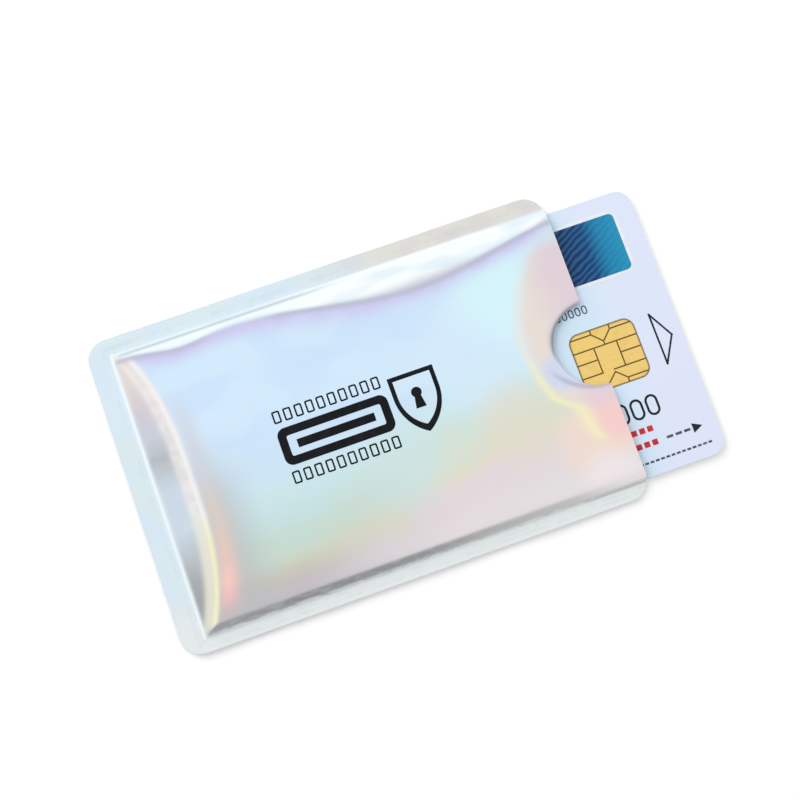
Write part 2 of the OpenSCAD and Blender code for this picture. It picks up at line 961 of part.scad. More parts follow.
module badge_panel() {
    inner_l = badge_l - 2 * badge_border_w;
    inner_w = badge_w - 2 * badge_border_w;
    color("teal")
        on_card_face()
            translate([badge_mid_x, badge_mid_y])
                rounded_rect(inner_l, inner_w, badge_r - badge_border_w);
}

// Upright bar with round ends
module round_bar(w, h) {
    square([w, h - w], center = true);
    for (s = [-1, 1])
        translate([0, s * (h - w) / 2])
            circle(w / 2);
}

module zero(w, h, line_w) {
    difference() {
        round_bar(w, h);
        round_bar(w - 2 * line_w, h - 2 * line_w);
    }
}

// Sixteen large zeros in groups of four, the last one near the card's end
digits_in_group = 4;
digit_groups = 4;
module card_digits() {
    group_l = digit_pitch * digits_in_group;
    color("black")
        on_card_face()
            for (g = [0 : digit_groups - 1])
                from_corner(digits_from_end + group_l + g * (group_l + digit_group_gap), digits_from_side)
                    row(digits_in_group, digit_pitch)
                        zero(digit_w, digit_h, digit_line_w);
}

// Outlined arrow beside the chip, level with it, and a small solid one near the lower edge
module card_arrows() {
    color("black")
        on_card_face() {
            from_corner(arrows_from_end, chip_from_side)
                polyline(
                    [[0, -arrow_w / 2], [arrow_l, 0], [0, arrow_w / 2], [0, -arrow_w / 2]],
                    arrow_line_w
                );
            from_corner(arrows_from_end, caption_from_side)
                polygon([[0, -small_arrow_w / 2], [small_arrow_w, 0], [0, small_arrow_w / 2]]);
        }
}

module dash_row(n, pitch, l, w) {
    row(n, pitch)
        square([l, w], center = true);
}

// Small zeros midway between the chip and the badge, dashes before the solid arrow, a row of fine
// dashes under them, and a longer caption row at the card's other end
small_digits = 5;
arrow_dashes = 3;
fine_dashes = 14;
caption_dashes = 14;
module card_small_print() {
    chip_top = chip_from_side + contact_w / 2;
    badge_low = card_w - badge_from_side - badge_w;
    dash_gap = dash_pitch - dash_l;
    color("dimgray")
        on_card_face() {
            from_corner(small_digits_from_end, (chip_top + badge_low) / 2)
                row(small_digits, small_digit_pitch)
                    zero(small_digit_w, small_digit_h, small_digit_line_w);
            from_corner(arrows_from_end + arrow_dashes * dash_pitch + dash_gap / 2, caption_from_side)
                dash_row(arrow_dashes, dash_pitch, dash_l, dash_w);
            from_corner(red_from_end - red_dash_l, fine_row_from_side)
                dash_row(fine_dashes, fine_dash_pitch, fine_dash_l, fine_dash_w);
            from_corner(card_l - 2 * card_r, caption_from_side)
                dash_row(caption_dashes, dash_pitch, dash_l, dash_w);
        }
}

// Red marks under the digits: one tall bar, and two short rows of dashes level with its ends
red_dashes = 3;
module card_red_marks() {
    color("crimson")
        on_card_face()
            from_corner(red_from_end, red_from_side) {
                square([red_dash_l, red_h]);
                for (y = [red_dash_l / 2, red_h - red_dash_l / 2])
                    translate([red_pitch, y])
                        dash_row(red_dashes, red_pitch, red_dash_l, red_dash_l);
            }
}

back_film();
back_foil();
back_liner();
seal_band();
front_liner();
front_foil();
front_film();
front_print();
card_back_overlay();
card_back_sheet();
card_inlay();
card_front_sheet();
card_front_overlay();
antenna_trace();
antenna_bridge();
antenna_bumps();
chip_contacts();
chip_carrier();
chip_glue();
chip_potting();
chip_die();
bond_wires();
magnetic_stripe();
signature_panel();
badge_border();
badge_panel();
card_digits();
card_arrows();
card_small_print();
card_red_marks();
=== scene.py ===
"""Looks of a foil-lined card sleeve and of the chip card that slides in it.

The shapes are worked out in millimetres, in the frame of the CAD model, and each mesh is turned
into metres as it is made. The sleeve's panels have the sizes and formulas of the CAD source. The
scene adds what is finer: gathers on the slopes, faint waves, two pressed lines beside the pocket
and a fold in the dish's lower rim.
"""

import math

import bpy
import numpy as np
from mathutils import Matrix, Vector


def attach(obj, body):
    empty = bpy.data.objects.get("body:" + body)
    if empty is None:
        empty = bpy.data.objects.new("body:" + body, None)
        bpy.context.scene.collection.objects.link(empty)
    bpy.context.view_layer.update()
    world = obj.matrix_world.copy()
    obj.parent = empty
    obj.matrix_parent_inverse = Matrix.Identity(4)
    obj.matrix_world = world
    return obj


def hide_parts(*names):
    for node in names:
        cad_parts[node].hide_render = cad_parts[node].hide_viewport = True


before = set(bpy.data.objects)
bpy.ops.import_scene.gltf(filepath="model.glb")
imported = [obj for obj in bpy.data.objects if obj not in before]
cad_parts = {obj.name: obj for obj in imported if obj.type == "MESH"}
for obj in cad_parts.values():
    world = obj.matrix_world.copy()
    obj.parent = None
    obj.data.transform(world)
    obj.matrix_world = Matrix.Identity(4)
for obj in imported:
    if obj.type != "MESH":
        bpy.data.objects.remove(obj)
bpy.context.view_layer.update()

MM = 0.001

# Sizes of the sleeve, as in the CAD source
SLEEVE_L, SLEEVE_W = 91.0, 61.4
CORNER_R = 4.0
MOUTH_X = SLEEVE_L / 2
POCKET_X0, POCKET_Y0, POCKET_Y1 = -41.0, -28.3, 27.5
NOTCH_R, NOTCH_Y = 8.1, -0.5
FILM_T, FOIL_T, LINER_T, GLUE_T, SEAL_T = 0.06, 0.03, 0.11, 0.01, 0.05
PANEL_T = FILM_T + FOIL_T + LINER_T + 2 * GLUE_T
STEP_H, STEP_RUN = 0.435, 0.5
FRONT_Z0 = STEP_H + PANEL_T + SEAL_T
SEAL_W = 1.4

# Shape of the front panel, as in the CAD source
CROWN_H = 1.5
TOP_SLOPE_W, TOP_DENT_W, TOP_DENT_FROM_MOUTH, TOP_DENT_L = 1.5, 5.3, 28.5, 24.0
END_DENT_W, END_DENT_FROM_END, END_DENT_L = 1.5, 12.5, 7.0
BOTTOM_SLOPE_W = 1.8
END_SLOPE_W, END_SLOPE_TAPER, END_SLOPE_POWER = 7.0, 5.2, 3
LIP_H, LIP_RUN = 0.15, 4.0
DISH_L, DISH_W, DISH_W_BELOW, DISH_Y, DISH_SHARE, DISH_POWER = 13.5, 22.0, 25.0, 3.0, 0.5, 1.6

# Fold in the dish's lower rim, which only the scene has: steep above its deepest place, long below
RIM_FOLD_D, RIM_FOLD_Y, RIM_FOLD_W_ABOVE, RIM_FOLD_W_BELOW = 2.5, -11.2, 1.9, 4.7

# Heights of the waves and the gathers, which only the scene has too
SEAM_WAVE_H, PANEL_WAVE_H = 0.05, 0.035
TOP_GATHER_H, END_GATHER_H, BOTTOM_GATHER_H = 0.055, 0.02, 0.03

# The two pressed lines beside the pocket: how far outside it they run, their depth and half width
SCORE_PLACES = (0.55, SEAL_W)
SCORE_DEPTH, SCORE_HALF_W = 0.015, 0.14

# Box that holds the print, and the flat margin round it
PRINT_X0, PRINT_X1, PRINT_HALF_W, PRINT_MARGIN = -17.5, 15.5, 7.5, 3.0

# Plate of the chip's contacts: its middle, its sizes and the radius of its corners
PLATE_X, PLATE_Y = 47.3, -3.59
PLATE_L, PLATE_W, PLATE_R = 13.0, 11.8, 2.0


# Smooth steps and waves

def soft_clamp(u, softness):
    """u held between 0 and 1, with both corners rounded."""
    low = np.logaddexp(0, u / softness)
    high = np.logaddexp(0, (u - 1) / softness)
    return softness * (low - high)


def side_of(d, width):
    """1 where d is positive and 0 where it is negative, with a soft change of that width."""
    return 0.5 + 0.5 * np.tanh(d / width)


def near(d, width):
    """1 where d is 0, falling off on both sides over that width."""
    return np.exp(-(d / width) ** 2)


def wave(u, length, phase=0.0):
    """Sine wave of that length along u."""
    return np.sin(2 * np.pi * u / length + phase)


# Places on the sleeve, in millimetres. Each is a function of x and y.

def seam_distance(x, y):
    """Distance inside the pocket's edge, negative on the seams."""
    return np.minimum(x - POCKET_X0, np.minimum(POCKET_Y1 - y, y - POCKET_Y0))


def top_slope(x):
    """Width of the upper slope, with its long dent and a small one near the closed end."""
    dent = TOP_DENT_W * near(x - MOUTH_X + TOP_DENT_FROM_MOUTH, TOP_DENT_L)
    end_dent = END_DENT_W * near(x - POCKET_X0 - END_DENT_FROM_END, END_DENT_L)
    return TOP_SLOPE_W + dent + end_dent


def end_slope(y):
    """Width of the slope beside the closed end."""
    from_middle = 2 * np.abs(y) / (POCKET_Y1 - POCKET_Y0)
    return END_SLOPE_W - END_SLOPE_TAPER * np.minimum(1, from_middle**END_SLOPE_POWER)


def dish_radius(x, y):
    """1 on the dish's rim, 0 at its middle."""
    fold_w = np.where(y > RIM_FOLD_Y, RIM_FOLD_W_ABOVE, RIM_FOLD_W_BELOW)
    along = (np.abs(MOUTH_X - x) + RIM_FOLD_D * near(y - RIM_FOLD_Y, fold_w)) / DISH_L
    across = np.abs(y - DISH_Y) / np.where(y > DISH_Y, DISH_W, DISH_W_BELOW)
    return (along**DISH_POWER + across**DISH_POWER) ** (1 / DISH_POWER)


def dish(x, y):
    """How far into the dish a point is: 0 outside it and 1 at its middle."""
    c = np.clip(1 - dish_radius(x, y), 0, 1)
    return c * c * (3 - 2 * c)


def slope_shares(x, y):
    """How far up each slope a point is: top, end and bottom, 0 at the seam and 1 at the crease."""
    top = (POCKET_Y1 - y) / top_slope(x)
    end = (x - POCKET_X0) / end_slope(y)
    bottom = (y - POCKET_Y0) / BOTTOM_SLOPE_W
    return top, end, bottom


def crease_distances(x, y):
    """Distance to each crease, positive on the flat middle: top, end, bottom and the dish's rim."""
    top = POCKET_Y1 - y - top_slope(x)
    end = x - POCKET_X0 - end_slope(y)
    bottom = y - POCKET_Y0 - BOTTOM_SLOPE_W
    rim = (dish_radius(x, y) - 1) * DISH_L
    return top, end, bottom, rim


def off_print(x, y):
    """0 over the print and 1 well away from it."""
    across = np.maximum(PRINT_X0 - x, x - PRINT_X1)
    return side_of(np.maximum(across, np.abs(y) - PRINT_HALF_W) - PRINT_MARGIN, 1.2)


# Height of each panel over its own flat datum

CREASE_SOFTNESS = 0.07
STEP_SOFTNESS = 0.1


def seam_waves(x, y):
    """Slight waves of the seams, alike on both panels."""
    outside = side_of(-seam_distance(x, y) - 1.2, 0.6)
    along = wave(x + 0.7 * y, 23) + 0.6 * wave(y - 0.4 * x, 15, 1.0)
    return SEAM_WAVE_H * outside * along


def score_lines(x, y):
    """Two fine lines pressed in beside the pocket, where the sealing bar's edges were."""
    outside = -seam_distance(x, y)
    return -SCORE_DEPTH * sum(near(outside - place, SCORE_HALF_W) for place in SCORE_PLACES)


def gathers(x, y):
    """Small gathers of the film on the three slopes, highest halfway up each."""
    on_top, on_end, on_bottom = (4 * s * (1 - s) for s in np.clip(slope_shares(x, y), 0, 1))
    along_top = wave(x, 17, 0.6) + 0.7 * wave(x + 0.5 * y, 7.3, 2.0)
    along_end = wave(y, 11, 1.3) + 0.6 * wave(y, 4.9, 0.4)
    along_bottom = wave(x, 19, 2.2) + 0.5 * wave(x, 8.1)
    height = TOP_GATHER_H * on_top * along_top * np.clip(top_slope(x) / 4, 0, 1)
    height += END_GATHER_H * on_end * along_end
    height += BOTTOM_GATHER_H * on_bottom * along_bottom
    return height * side_of(seam_distance(x, y), 0.1)


def panel_waves(x, y):
    """Broad shallow waves of the middle, which leave the print flat."""
    inner = side_of(seam_distance(x, y) - 6, 2)
    broad = wave(x - 0.6 * y, 37, 0.5) + 0.7 * wave(y + 0.3 * x, 21, 2.6)
    return PANEL_WAVE_H * inner * off_print(x, y) * broad


def front_height(x, y):
    """Height of the front panel over its seams."""
    step = soft_clamp(seam_distance(x, y) / STEP_RUN, STEP_SOFTNESS)
    crown = 1 - DISH_SHARE * dish(x, y)
    for share in slope_shares(x, y):
        crown = crown * soft_clamp(share, CREASE_SOFTNESS)
    nearest_crease = np.minimum.reduce(crease_distances(x, y))
    behind_lip = soft_clamp(nearest_crease / LIP_RUN, CREASE_SOFTNESS)
    rise = STEP_H * step + (CROWN_H - STEP_H) * crown - LIP_H * behind_lip
    return rise + gathers(x, y) + panel_waves(x, y) + seam_waves(x, y) + score_lines(x, y)


def back_height(x, y):
    """Height of the back panel's underside: 0 under the pocket, and one step up at the seams.

    Its lines are pressed in from below.
    """
    tray = STEP_H * (1 - soft_clamp(seam_distance(x, y) / STEP_RUN, STEP_SOFTNESS))
    return np.maximum(tray + seam_waves(x, y) - score_lines(x, y), 0)


# Grid that follows the sleeve's outline

# Band of close rows and columns that holds the step at the pocket's edge, outside and inside it
BAND_OUT, BAND_IN, BAND_PITCH = 0.2, 0.7, 0.11

# How far behind the notch the columns begin to bend round it
NOTCH_MARGIN = 2.0

# Rows at each corner and at the notch, and the least pitch anywhere
CORNER_ROWS, NOTCH_ROWS, LEAST_PITCH = 12, 45, 0.05


def run(start, end, pitch):
    """Even places from start up to end, about one pitch apart."""
    return np.linspace(start, end, max(1, round((end - start) / pitch)) + 1)


def joined(stretches, coarseness):
    """The places of all the stretches, each given by its start, its end and its pitch."""
    return np.concatenate([run(start, end, pitch * coarseness) for start, end, pitch in stretches])


def thinned(places):
    """The places in rising order, without those that lie too close to the one before."""
    kept = [min(places)]
    for place in sorted(places):
        if place - kept[-1] >= LEAST_PITCH:
            kept.append(place)
    kept[-1] = max(places)
    return np.array(kept)


def grid_columns(coarseness):
    """Places along the sleeve: close together at the closed end's step and slope."""
    return thinned(joined([
        (-MOUTH_X, POCKET_X0 - BAND_OUT, 0.27),
        (POCKET_X0 - BAND_OUT, POCKET_X0 + BAND_IN, BAND_PITCH),
        (POCKET_X0 + BAND_IN, -33, 0.24),
        (-33, 28, 0.52),
        (28, MOUTH_X, 0.34),
    ], coarseness))


def grid_rows(coarseness):
    """Places across the sleeve, with rows at even steps round each corner and round the notch."""
    half_w = SLEEVE_W / 2
    corner = CORNER_R * (1 - np.cos(np.linspace(0, np.pi / 2, CORNER_ROWS)))
    notch = NOTCH_Y + NOTCH_R * np.cos(np.linspace(0, np.pi, NOTCH_ROWS))
    between_seams = joined([
        (POCKET_Y0 - BAND_OUT, POCKET_Y0 + BAND_IN, BAND_PITCH),
        (POCKET_Y0 + BAND_IN, -24.5, 0.22),
        (-24.5, 14, 0.5),
        (14, POCKET_Y1 - BAND_IN, 0.3),
        (POCKET_Y1 - BAND_IN, POCKET_Y1 + BAND_OUT, BAND_PITCH),
    ], coarseness)
    return thinned(np.concatenate([corner - half_w, between_seams, notch, half_w - corner]))


def left_end(y):
    """x of the outline's closed end at y."""
    into_corner = np.clip(np.abs(y) - (SLEEVE_W / 2 - CORNER_R), 0, CORNER_R)
    return -MOUTH_X + CORNER_R - np.sqrt(CORNER_R**2 - into_corner**2)


def right_end(y):
    """x of the outline's mouth at y, cut back at the notch."""
    beside = np.clip(np.abs(y - NOTCH_Y), 0, NOTCH_R)
    return np.minimum(-left_end(y), MOUTH_X - np.sqrt(NOTCH_R**2 - beside**2))


def fitted_columns(columns, y):
    """The columns at y, drawn in at both ends so that they end on the outline."""
    left_join, right_join = POCKET_X0 - BAND_OUT, MOUTH_X - NOTCH_R - NOTCH_MARGIN
    left, right = left_end(y), right_end(y)
    x = columns.copy()
    at_left, at_right = columns < left_join, columns > right_join
    left_share = (columns[at_left] + MOUTH_X) / (left_join + MOUTH_X)
    right_share = (columns[at_right] - right_join) / (MOUTH_X - right_join)
    x[at_left] = left + left_share * (left_join - left)
    x[at_right] = right_join + right_share * (right - right_join)
    return x


def sheet_regions(x, y):
    """Masks that the film's materials read, each between 0 and 1 at every point of the sheet."""
    inside = seam_distance(x, y)
    top_d, end_d, bottom_d, rim_d = crease_distances(x, y)
    pocket = side_of(inside, 0.12)
    middle = side_of(np.minimum.reduce([top_d, end_d, bottom_d]), 0.3) * pocket
    # How much of a point belongs to each slope: the slopes meet in soft lines at the corners
    shares = np.stack(slope_shares(x, y))
    weights = np.exp(-(shares - shares.min(0)) / 0.06)
    on_top, on_end, on_bottom = pocket * weights / weights.sum(0)
    # Stretches that end at the long seams, at the long creases, or short of the closed end
    between_seams = side_of(np.minimum(POCKET_Y1 - y, y - POCKET_Y0), 0.3)
    between_long_creases = side_of(np.minimum(top_d, bottom_d) + 1, 0.6)
    off_end = side_of(np.minimum(end_d + 4, bottom_d), 1)
    # On the slope's side the upper crease's shade is broader in the long dent and at the mouth
    from_shade = top_d - 0.15
    shade_w = 0.45 + 1.2 * near(x - 19, 11) + 0.6 * near(x - 46, 3)
    shade_w = np.where(from_shade > 0, 0.65, shade_w)
    halo_w = 1.7 + 1.0 * near(x + 1, 12)
    rim_w = 0.75 + 0.4 * near(y + 12.5, 3)
    from_notch = np.hypot(x - MOUTH_X, y - NOTCH_Y) - NOTCH_R
    return {
        "pocket": pocket,
        "top_highlight_band": on_top * (1 - side_of(top_d, 0.25)),
        "end_band": on_end * (1 - side_of(end_d, 0.5)),
        "bottom_shade_band": on_bottom * (1 - side_of(bottom_d - 0.1, 0.2)),
        "bottom_share": np.clip(shares[2], 0, 1),
        "top_crease_shade": near(from_shade, shade_w) * off_end,
        "top_halo": near(np.maximum(top_d - 0.6, 0), halo_w) * middle,
        "bottom_shade_halo": np.exp(-np.maximum(bottom_d, 0) / 0.7) * middle,
        "end_foot_highlight": near(x - POCKET_X0, 0.45) * between_seams,
        "end_roll_highlight": side_of(end_d + 2.5, 0.5) * side_of(0.3 - end_d, 0.5) * between_long_creases,
        "end_crease": near(end_d + 0.2, 0.5) * between_long_creases,
        "end_glow": near(end_d - 2.1, 2.1) * middle,
        "dish": side_of(-rim_d - 0.7, 1.0) * pocket,
        "dish_rim_highlight": near(rim_d, rim_w) * side_of(np.minimum(top_d, bottom_d) + 0.5, 1),
        "notch_edge_shadow": near(from_notch, 0.45),
        "fold_line": near(inside - 0.85, 0.3),
        "score": sum(near(inside + place, 0.22) for place in SCORE_PLACES),
    }


# Least angle in degrees at which an edge of a sheet is shaded as sharp
SHARP_ANGLE = 60


def make_sheet(name, height, low, high, coarseness):
    """Closed sheet in the sleeve's outline, from low to high over a panel's height."""
    columns, rows = grid_columns(coarseness), grid_rows(coarseness)
    x = np.stack([fitted_columns(columns, row) for row in rows])
    y = np.repeat(rows[:, None], len(columns), axis=1)
    z = height(x, y)

    # The points of the lower face come first, then those of the upper face in the same order
    count = x.size
    points = np.empty((2 * count, 3))
    points[:count] = np.stack([x, y, z + low], axis=-1).reshape(-1, 3)
    points[count:] = np.stack([x, y, z + high], axis=-1).reshape(-1, 3)

    index = np.arange(count).reshape(x.shape)
    corners = [index[:-1, :-1], index[:-1, 1:], index[1:, 1:], index[1:, :-1]]
    upper = np.stack(corners, axis=-1).reshape(-1, 4) + count
    lower = np.stack(corners[::-1], axis=-1).reshape(-1, 4)
    # Once round the grid's edge, for the faces that close the sheet
    rim = np.concatenate([index[0, :-1], index[:-1, -1], index[-1, :0:-1], index[:0:-1, 0]])
    after = np.roll(rim, -1)
    side = np.stack([rim, after, after + count, rim + count], axis=-1)
    faces = np.concatenate([upper, lower, side])

    mesh = bpy.data.meshes.new(name)
    mesh.from_pydata((points * MM).tolist(), [], faces.tolist())
    mesh.polygons.foreach_set("use_smooth", np.ones(len(faces), bool))
    mesh.set_sharp_from_angle(angle=math.radians(SHARP_ANGLE))
    for region, values in sheet_regions(x, y).items():
        layer = mesh.attributes.new(region, "FLOAT", "POINT")
        layer.data.foreach_set("value", np.tile(values.ravel(), 2).astype(np.float32))
    piece = bpy.data.objects.new(name, mesh)
    bpy.context.scene.collection.objects.link(piece)
    return piece


# Short names for the nodes of one material

def srgb(red, green, blue):
    """A colour as it looks on a screen, from 0 to 255, as the linear colour that Blender takes."""
    levels = [c / 255 for c in (red, green, blue)]
    linear = [c / 12.92 if c <= 0.04045 else ((c + 0.055) / 1.055) ** 2.4 for c in levels]
    return (*linear, 1.0)


class Look:
    """A material with one Principled shader.

    Most methods add nodes and return what these give, for other methods or for the shader.
    """

    def __init__(self, name, roughness, metallic=0.0):
        self.material = bpy.data.materials.new(name)
        self.material.use_nodes = True
        self.tree = self.material.node_tree
        self.shader = self.tree.nodes["Principled BSDF"]
        self.set("Roughness", roughness)
        self.set("Metallic", metallic)
        # The point's place in the shared frame, in millimetres
        place = self.tree.nodes.new("ShaderNodeTexCoord").outputs["Object"]
        scale = self.tree.nodes.new("ShaderNodeVectorMath")
        scale.operation = "SCALE"
        scale.inputs["Scale"].default_value = 1 / MM
        self.plug(place, scale.inputs[0])
        self.place = scale.outputs[0]

    def plug(self, value, socket):
        """Links a node's output to the socket, or sets it to a plain value."""
        if isinstance(value, bpy.types.NodeSocket):
            self.tree.links.new(value, socket)
        else:
            socket.default_value = value

    def set(self, socket, value):
        """Links or sets one of the shader's own sockets."""
        self.plug(value, self.shader.inputs[socket])

    def math(self, operation, a, b=0.0, c=0.0):
        """What Blender's math node gives for the operation."""
        node = self.tree.nodes.new("ShaderNodeMath")
        node.operation = operation
        for value, socket in zip((a, b, c), node.inputs):
            self.plug(value, socket)
        return node.outputs[0]

    def axis(self, name):
        """One coordinate of the point, in millimetres."""
        node = self.tree.nodes.new("ShaderNodeSeparateXYZ")
        self.plug(self.place, node.inputs[0])
        return node.outputs[name]

    def times(self, *values):
        """Product of the values."""
        product = values[0]
        for value in values[1:]:
            product = self.math("MULTIPLY", product, value)
        return product

    def plus(self, base, value, factor=1.0):
        """base with factor times value added."""
        return self.math("MULTIPLY_ADD", value, factor, base)

    def apart(self, a, b):
        """How far a and b lie apart."""
        return self.math("ABSOLUTE", self.math("SUBTRACT", a, b))

    def diagonal(self, a, b):
        """Length of a diagonal whose sides are a and b."""
        return self.math("SQRT", self.plus(self.times(a, a), self.times(b, b)))

    def distance(self, x, y):
        """Distance in millimetres from the upright line through x, y."""
        return self.diagonal(self.apart(self.axis("X"), x), self.apart(self.axis("Y"), y))

    def beyond(self, axis, middle, half):
        """How far the point lies past half, on either side of middle along that axis."""
        off = self.apart(self.axis(axis), middle)
        return self.math("MAXIMUM", self.math("SUBTRACT", off, half), 0)

    def region(self, name):
        """A mask that make_sheet() wrote to the mesh."""
        node = self.tree.nodes.new("ShaderNodeAttribute")
        node.attribute_name = name
        return node.outputs["Fac"]

    def stretched(self, x, y, turn=0.0):
        """The place scaled along X and Y and then turned about Z, in degrees."""
        node = self.tree.nodes.new("ShaderNodeMapping")
        self.plug(self.place, node.inputs["Vector"])
        node.inputs["Rotation"].default_value = (0, 0, math.radians(turn))
        node.inputs["Scale"].default_value = (x, y, 1)
        return node.outputs[0]

    def noise(self, size, detail, place=None, distortion=0.0):
        """Smooth noise from 0 to 1, whose grains are about that many millimetres across."""
        node = self.tree.nodes.new("ShaderNodeTexNoise")
        self.plug(place or self.place, node.inputs["Vector"])
        node.inputs["Scale"].default_value = 1 / size
        node.inputs["Detail"].default_value = detail
        node.inputs["Distortion"].default_value = distortion
        return node.outputs["Fac"]

    def off_centre(self, size, detail, place=None):
        """Smooth noise that swings about 0, by less than 0.5 either way."""
        return self.math("SUBTRACT", self.noise(size, detail, place), 0.5)

    def rippled(self, axis):
        """One coordinate, which noise pushes on by up to a few millimetres."""
        return self.plus(self.axis(axis), self.noise(6, 2), 5)

    def lines(self, pitch, turn, distortion):
        """Parallel lines from 0 to 1, that many millimetres apart, turned by degrees from Y."""
        node = self.tree.nodes.new("ShaderNodeTexWave")
        node.wave_profile = "SIN"
        self.plug(self.stretched(1, 1, turn), node.inputs["Vector"])
        # The wave texture's own bands are 2 pi / 20 units apart at a scale of 1
        node.inputs["Scale"].default_value = math.pi / 10 / pitch
        node.inputs["Distortion"].default_value = distortion
        node.inputs["Detail"].default_value = 1
        return node.outputs["Fac"]

    def ramp(self, value, stops):
        """The colour at value, from stops of (place, colour)."""
        node = self.tree.nodes.new("ShaderNodeValToRGB")
        self.plug(value, node.inputs[0])
        elements = node.color_ramp.elements
        while len(elements) < len(stops):
            elements.new(0.5)
        for element, (place, colour) in zip(elements, stops):
            element.position = place
            element.color = colour
        return node.outputs["Color"]

    def between(self, value, low, high, to_low=0.0, to_high=1.0):
        """value taken smoothly from low..high to to_low..to_high, and held there outside."""
        node = self.tree.nodes.new("ShaderNodeMapRange")
        node.interpolation_type = "SMOOTHSTEP"
        for place, setting in enumerate((value, low, high, to_low, to_high)):
            self.plug(setting, node.inputs[place])
        return node.outputs[0]

    def near(self, value, level, width):
        """1 where value is at that level, falling to 0 over width on both sides."""
        return self.between(self.apart(value, level), width, 0)

    def mix(self, share, a, b, blend="MIX"):
        """Colour a where share is 0 and b where it is 1."""
        node = self.tree.nodes.new("ShaderNodeMix")
        node.data_type = "RGBA"
        node.blend_type = blend
        self.plug(share, node.inputs["Factor"])
        self.plug(a, node.inputs[6])
        self.plug(b, node.inputs[7])
        return node.outputs[2]

    def rough(self, texture, low, high):
        """Roughness from low to high, by a texture between 0 and 1."""
        self.set("Roughness", self.between(texture, 0.3, 0.7, low, high))

    def bump(self, height, depth):
        """Bump from a height between 0 and 1 that stands for depth in millimetres."""
        node = self.tree.nodes.new("ShaderNodeBump")
        node.inputs["Distance"].default_value = depth * MM
        self.plug(height, node.inputs["Height"])
        self.set("Normal", node.outputs[0])


# Film of the sleeve: pale colours that stand for what its iridescent layer sends back, with painted
# highlights on its ridges and upper slope and painted shade in its creases and on its lower slopes

LILAC = srgb(207, 203, 241)
SKY = srgb(206, 229, 252)
BRIGHT_SKY = srgb(215, 238, 253)
CYAN = srgb(214, 246, 253)
BLUE_TEAL = srgb(206, 231, 242)
PALE_TEAL = srgb(206, 231, 233)
PALE_GREEN = srgb(211, 228, 218)
YELLOW_GREEN = srgb(218, 226, 212)
PEACH = srgb(226, 222, 204)
PINK = srgb(229, 217, 221)
ROSE = srgb(248, 208, 206)
CREAM_HIGHLIGHT = srgb(245, 239, 198)
DISH_BEIGE = srgb(235, 224, 215)
DISH_MAUVE = srgb(227, 210, 219)
WARM_HIGHLIGHT = srgb(240, 236, 234)
WHITE_BLUE_HIGHLIGHT = srgb(244, 251, 254)
COOL_GREY_SHADE = srgb(188, 190, 193)
SHADE = srgb(176, 186, 192)
CREASE_SHADE = srgb(183, 184, 204)
NOTCH_BLUE_SHADE = srgb(209, 219, 245)
NOTCH_SHADE = srgb(164, 173, 194)
NOTCH_EDGE_SHADOW = srgb(112, 120, 138)
SEAM_BLUE = srgb(216, 233, 245)
SEAM_TEAL = srgb(218, 234, 237)
SEAM_WARM = srgb(221, 216, 212)
SEAM_WHITE = srgb(230, 235, 236)

# Colours along a stretch of the film, as places from 0 to 1 and the colours there. The first goes
# down the middle of the front, the second the same way just inside the closed end's crease, the
# third down the slope of the closed end, with greys of painted shade, the fourth along the lower
# slope towards the mouth, which is all painted shade, and the last along the back.
MIDDLE_SWEEP = [
    (0.0, SKY), (0.38, SKY), (0.5, BLUE_TEAL), (0.58, PALE_TEAL), (0.67, PALE_GREEN),
    (0.735, YELLOW_GREEN), (0.785, PEACH), (0.85, PINK), (1.0, srgb(228, 224, 226)),
]
END_GLOW_SWEEP = [
    (0.0, srgb(210, 219, 232)), (0.28, srgb(208, 212, 221)), (0.45, srgb(216, 207, 203)),
    (0.65, srgb(221, 205, 195)), (0.85, srgb(236, 202, 193)), (0.94, srgb(251, 205, 194)),
    (0.985, srgb(236, 192, 196)), (1.0, srgb(206, 188, 192)),
]
END_SLOPE_SWEEP_AND_SHADE = [
    (0.0, srgb(222, 214, 210)), (0.06, srgb(220, 212, 209)), (0.15, srgb(208, 202, 211)),
    (0.27, srgb(197, 204, 216)), (0.38, srgb(181, 187, 192)), (0.55, srgb(201, 215, 227)),
    (0.77, srgb(202, 217, 230)), (0.9, srgb(184, 190, 194)), (1.0, srgb(158, 160, 164)),
]
LOWER_SLOPE_SHADE = [
    (0.0, srgb(158, 158, 164)), (0.15, srgb(140, 141, 148)), (0.5, srgb(152, 153, 156)),
    (0.7, srgb(176, 176, 176)), (1.0, srgb(202, 202, 201)),
]
BACK_SWEEP = [
    (0.0, LILAC), (0.2, SKY), (0.36, CYAN), (0.5, PALE_TEAL),
    (0.62, PALE_GREEN), (0.74, PEACH), (0.86, PINK), (1.0, LILAC),
]

# Length that the middle's colours take down the sleeve, and where they start
SWEEP_L, SWEEP_Y = 52.0, 22.0

# What the left part of the lower middle, and its lower left corner, are multiplied by
LOW_LEFT_TINT = (0.87, 0.93, 0.93, 1)
CORNER_TINT = (0.84, 0.8, 0.82, 1)

# Soft round patches on the middle, each over the ones before: x, y, reach, share and colour
MIDDLE_PATCHES = [
    (25, 6, 17, 0.75, BRIGHT_SKY),
    (31, 14.5, 12, 0.85, CYAN),
    (3, -11, 11, 0.6, PALE_TEAL),
    (27, -10, 11, 0.7, PEACH),
    (39, -18, 10, 0.8, srgb(245, 223, 208)),
    (40, -26, 8, 0.8, srgb(240, 233, 238)),
]

# Centre of the blue shade beside the notch
SHADE_X, SHADE_Y = 37.5, -3.5

# Centre and radius of the shaded fold that runs into the notch's lower edge
FOLD_X, FOLD_Y, FOLD_R = 44.8, 1.8, 10.3

# Where the painted shade of the crease under the upper slope is faint, because the panel is least
# pressed in there
FAINT_X = -17.0

# Lengths along and across the sleeve that take the back's colours once through, and the place in
# them of the sleeve's middle
BACK_SWEEP_L, BACK_SWEEP_W, BACK_MIDDLE = 110.0, 200.0, 0.45


